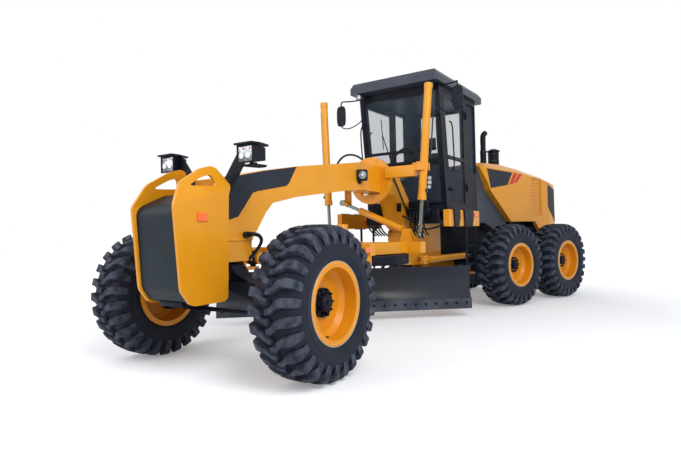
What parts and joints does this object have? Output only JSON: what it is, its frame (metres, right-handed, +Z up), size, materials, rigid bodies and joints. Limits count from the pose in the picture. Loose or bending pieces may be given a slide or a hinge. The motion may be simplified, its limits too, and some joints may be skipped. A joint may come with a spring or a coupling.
{
  "type": "motor grader",
  "caption": "Motor grader with an arched front frame, cab over the hitch, swung rear frame on tandem wheels, and a mouldboard under a turning circle.",
  "frame": {"origin": "on the ground under the middle of the whole machine as it stands; the front frame's centre line is at y -0.15 m and the articulation pivot at x -1.251 m", "axes": "+X forward along the front frame, +Y to the machine's left, +Z up"},
  "size_m": [8.9423, 3.881, 3.64],
  "materials": {
    "yellow_paint": "gloss",
    "black_paint": "satin",
    "edge_steel": "worn",
    "rod_chrome": "polished",
    "tyre_rubber": "matte",
    "tinted_glass": "clear",
    "seat_fabric": "woven",
    "trim_plastic": "matte"
  },
  "bodies": {
    "front": {"front_frame": "yellow_paint", "nose_plates": "yellow_paint", "nose_cover": "black_paint", "headlamps": "black_paint", "front_axle": "black_paint", "saddle": "yellow_paint", "cab_body": "black_paint", "cab_roof": "black_paint", "cab_glass": "tinted_glass", "seat": "seat_fabric", "console": "trim_plastic", "side_boxes": "yellow_paint", "steps": "black_paint", "mirrors": "trim_plastic"},
    "rear": {"rear_frame": "black_paint", "tandem_cases": "yellow_paint", "hood": "yellow_paint", "fairing": "black_paint", "engine_block": "black_paint", "rear_grille": "black_paint", "stacks": "black_paint"},
    "lean_left": {"lean_bracket_left": "black_paint"},
    "lean_right": {"lean_bracket_right": "black_paint"},
    "lean_link": {"lean_bar": "black_paint"},
    "steer_left": {"knuckle_left": "black_paint"},
    "steer_right": {"knuckle_right": "black_paint"},
    "tie_joint": {"tie_ball": "rod_chrome"},
    "tie_link": {"tie_rod": "black_paint"},
    "ball": {"drawbar_ball": "rod_chrome"},
    "drawbar": {"drawbar": "yellow_paint"},
    "circle": {"circle": "black_paint"},
    "blade_carrier": {"blade_carrier": "black_paint"},
    "blade": {"moldboard": "black_paint", "cutting_edge": "edge_steel"},
    "shift_barrel": {"shift_barrel": "yellow_paint"},
    "shift_rod": {"shift_rod": "rod_chrome"},
    "door_left": {"door_left": "black_paint", "door_glass_left": "tinted_glass"},
    "door_right": {"door_right": "black_paint", "door_glass_right": "tinted_glass"},
    "lift_barrel_left": {"lift_barrel_left": "yellow_paint"},
    "lift_rod_left": {"lift_rod_left": "rod_chrome"},
    "artic_barrel_left": {"artic_barrel_left": "yellow_paint"},
    "artic_rod_left": {"artic_rod_left": "rod_chrome"},
    "wheel_front_left": {"tyre_front_left": "tyre_rubber", "rim_front_left": "yellow_paint"},
    "wheel_middle_left": {"tyre_middle_left": "tyre_rubber", "rim_middle_left": "yellow_paint"},
    "wheel_rear_left": {"tyre_rear_left": "tyre_rubber", "rim_rear_left": "yellow_paint"},
    "lift_barrel_right": {"lift_barrel_right": "yellow_paint"},
    "lift_rod_right": {"lift_rod_right": "rod_chrome"},
    "artic_barrel_right": {"artic_barrel_right": "yellow_paint"},
    "artic_rod_right": {"artic_rod_right": "rod_chrome"},
    "wheel_front_right": {"tyre_front_right": "tyre_rubber", "rim_front_right": "yellow_paint"},
    "wheel_middle_right": {"tyre_middle_right": "tyre_rubber", "rim_middle_right": "yellow_paint"},
    "wheel_rear_right": {"tyre_rear_right": "tyre_rubber", "rim_rear_right": "yellow_paint"}
  },
  "joints": [
    {"name": "articulation", "type": "hinge", "parent": "front", "child": "rear", "pos_m": [-1.251, -0.15, 1.09], "axis": [0, 0, 1], "range_deg": [-7.5, 42.5]},
    {"name": "artic_swing_left", "type": "hinge", "parent": "front", "child": "artic_barrel_left", "pos_m": [-0.007, 0.26, 0.83], "axis": [0, 0, 1], "range_deg": [-4, 12]},
    {"name": "artic_stroke_left", "type": "slide", "parent": "artic_barrel_left", "child": "artic_rod_left", "axis": [-0.9943, 0.1062, 0], "range_m": [-0.068, 0.336]},
    {"name": "artic_swing_right", "type": "hinge", "parent": "front", "child": "artic_barrel_right", "pos_m": [-0.007, -0.56, 0.83], "axis": [0, 0, 1], "range_deg": [-4, 12]},
    {"name": "artic_stroke_right", "type": "slide", "parent": "artic_barrel_right", "child": "artic_rod_right", "axis": [-0.9989, 0.0464, 0], "range_m": [-0.351, 0.07]},
    {"name": "lean_left", "type": "hinge", "parent": "front", "child": "lean_left", "pos_m": [3.609, 0.55, 0.62], "axis": [1, 0, 0], "range_deg": [-18, 18]},
    {"name": "lean_right", "type": "hinge", "parent": "front", "child": "lean_right", "pos_m": [3.609, -0.85, 0.62], "axis": [1, 0, 0], "range_deg": [-18.5, 18.5]},
    {"name": "lean_link", "type": "hinge", "parent": "lean_left", "child": "lean_link", "pos_m": [3.749, 0.55, 0.8], "axis": [1, 0, 0], "range_deg": [-18.5, 18.5]},
    {"name": "steer_left", "type": "hinge", "parent": "lean_left", "child": "steer_left", "pos_m": [3.609, 0.73, 0.67], "axis": [0, 0, 1], "range_deg": [-35, 35]},
    {"name": "steer_right", "type": "hinge", "parent": "lean_right", "child": "steer_right", "pos_m": [3.609, -1.03, 0.67], "axis": [0, 0, 1], "range_deg": [-35.5, 35.5]},
    {"name": "tie_turn", "type": "hinge", "parent": "steer_left", "child": "tie_joint", "pos_m": [3.409, 0.73, 0.49], "axis": [0, 0, 1], "range_deg": [-35.5, 35.5]},
    {"name": "tie_tilt", "type": "hinge", "parent": "tie_joint", "child": "tie_link", "pos_m": [3.409, 0.73, 0.49], "axis": [1, 0, 0], "range_deg": [-18, 18]},
    {"name": "spin_front_left", "type": "hinge", "parent": "steer_left", "child": "wheel_front_left", "pos_m": [3.609, 0.93, 0.67], "axis": [0, 1, 0], "continuous": true},
    {"name": "spin_middle_left", "type": "hinge", "parent": "rear", "child": "wheel_middle_left", "pos_m": [-1.638, 1.08346, 0.67], "axis": [0.3007, 0.9537, 0], "continuous": true},
    {"name": "spin_rear_left", "type": "hinge", "parent": "rear", "child": "wheel_rear_left", "pos_m": [-3.08765, 1.54054, 0.67], "axis": [0.3007, 0.9537, 0], "continuous": true},
    {"name": "spin_front_right", "type": "hinge", "parent": "steer_right", "child": "wheel_front_right", "pos_m": [3.609, -1.23, 0.67], "axis": [0, 1, 0], "continuous": true},
    {"name": "spin_middle_right", "type": "hinge", "parent": "rear", "child": "wheel_middle_right", "pos_m": [-2.2755, -0.93842, 0.67], "axis": [0.3007, 0.9537, 0], "continuous": true},
    {"name": "spin_rear_right", "type": "hinge", "parent": "rear", "child": "wheel_rear_right", "pos_m": [-3.72515, -0.48134, 0.67], "axis": [0.3007, 0.9537, 0], "continuous": true},
    {"name": "drawbar_swing", "type": "hinge", "parent": "front", "child": "ball", "pos_m": [3.249, -0.15, 1.02], "axis": [0, 0, 1], "range_deg": [-5, 5]},
    {"name": "drawbar_lift", "type": "hinge", "parent": "ball", "child": "drawbar", "pos_m": [3.249, -0.15, 1.02], "axis": [0, -1, 0], "range_deg": [-6, 11]},
    {"name": "lift_swing_left", "type": "hinge", "parent": "front", "child": "lift_barrel_left", "pos_m": [0.752, 0.645, 2.13], "axis": [1, 0, 0], "range_deg": [-14, 14]},
    {"name": "lift_stroke_left", "type": "slide", "parent": "lift_barrel_left", "child": "lift_rod_left", "axis": [0.0506, -0.0646, -0.9966], "range_m": [-0.251, 0.452]},
    {"name": "lift_swing_right", "type": "hinge", "parent": "front", "child": "lift_barrel_right", "pos_m": [0.752, -0.945, 2.13], "axis": [1, 0, 0], "range_deg": [-14, 14]},
    {"name": "lift_stroke_right", "type": "slide", "parent": "lift_barrel_right", "child": "lift_rod_right", "axis": [0.0506, 0.0646, -0.9966], "range_m": [-0.251, 0.452]},
    {"name": "shift_swing", "type": "hinge", "parent": "drawbar", "child": "shift_barrel", "pos_m": [0.649, 0.32, 1.26], "axis": [1, 0, 0], "range_deg": [-23, 23]},
    {"name": "shift_stroke", "type": "slide", "parent": "shift_barrel", "child": "shift_rod", "axis": [0, -0.9205, 0.3908], "range_m": [-0.23, 0.23]},
    {"name": "circle_turn", "type": "hinge", "parent": "drawbar", "child": "circle", "pos_m": [1.149, -0.15, 0.9], "axis": [0, 0, 1], "range_deg": [-75, 5]},
    {"name": "blade_tip", "type": "hinge", "parent": "circle", "child": "blade_carrier", "pos_m": [0.73015, -0.50647, 0.33], "axis": [-0.6481, 0.7615, 0], "range_deg": [-5, 28]},
    {"name": "blade_shift", "type": "slide", "parent": "blade_carrier", "child": "blade", "axis": [0.6481, -0.7615, 0], "range_m": [-0.45, 0.55]},
    {"name": "door_left_swing", "type": "hinge", "parent": "front", "child": "door_left", "pos_m": [-1.145, 0.555, 2.5], "axis": [0, 0, 1], "range_deg": [0, 85]},
    {"name": "door_right_swing", "type": "hinge", "parent": "front", "child": "door_right", "pos_m": [-1.145, -0.855, 2.5], "axis": [0, 0, -1], "range_deg": [0, 85]}
  ],
  "couplings": [
    {"joint": "artic_swing_left", "follows": "articulation", "ratio": 0.26},
    {"joint": "artic_stroke_left", "follows": "articulation", "m_per_rad": 0.44},
    {"joint": "artic_swing_right", "follows": "articulation", "ratio": 0.24},
    {"joint": "artic_stroke_right", "follows": "articulation", "m_per_rad": -0.46},
    {"joint": "lean_right", "follows": "lean_left", "ratio": 1},
    {"joint": "lean_link", "follows": "lean_left", "ratio": -1},
    {"joint": "steer_right", "follows": "steer_left", "ratio": 1},
    {"joint": "tie_turn", "follows": "steer_left", "ratio": -1},
    {"joint": "tie_tilt", "follows": "lean_left", "ratio": -0.7955},
    {"joint": "lift_swing_left", "follows": "drawbar_swing", "ratio": -2.5},
    {"joint": "lift_stroke_left", "follows": "drawbar_lift", "m_per_rad": 2.3},
    {"joint": "lift_swing_right", "follows": "drawbar_swing", "ratio": -2.5},
    {"joint": "lift_stroke_right", "follows": "drawbar_lift", "m_per_rad": 2.3},
    {"joint": "shift_swing", "follows": "drawbar_lift", "ratio": -2},
    {"joint": "shift_stroke", "follows": "drawbar_swing", "m_per_rad": -2.38}
  ]
}
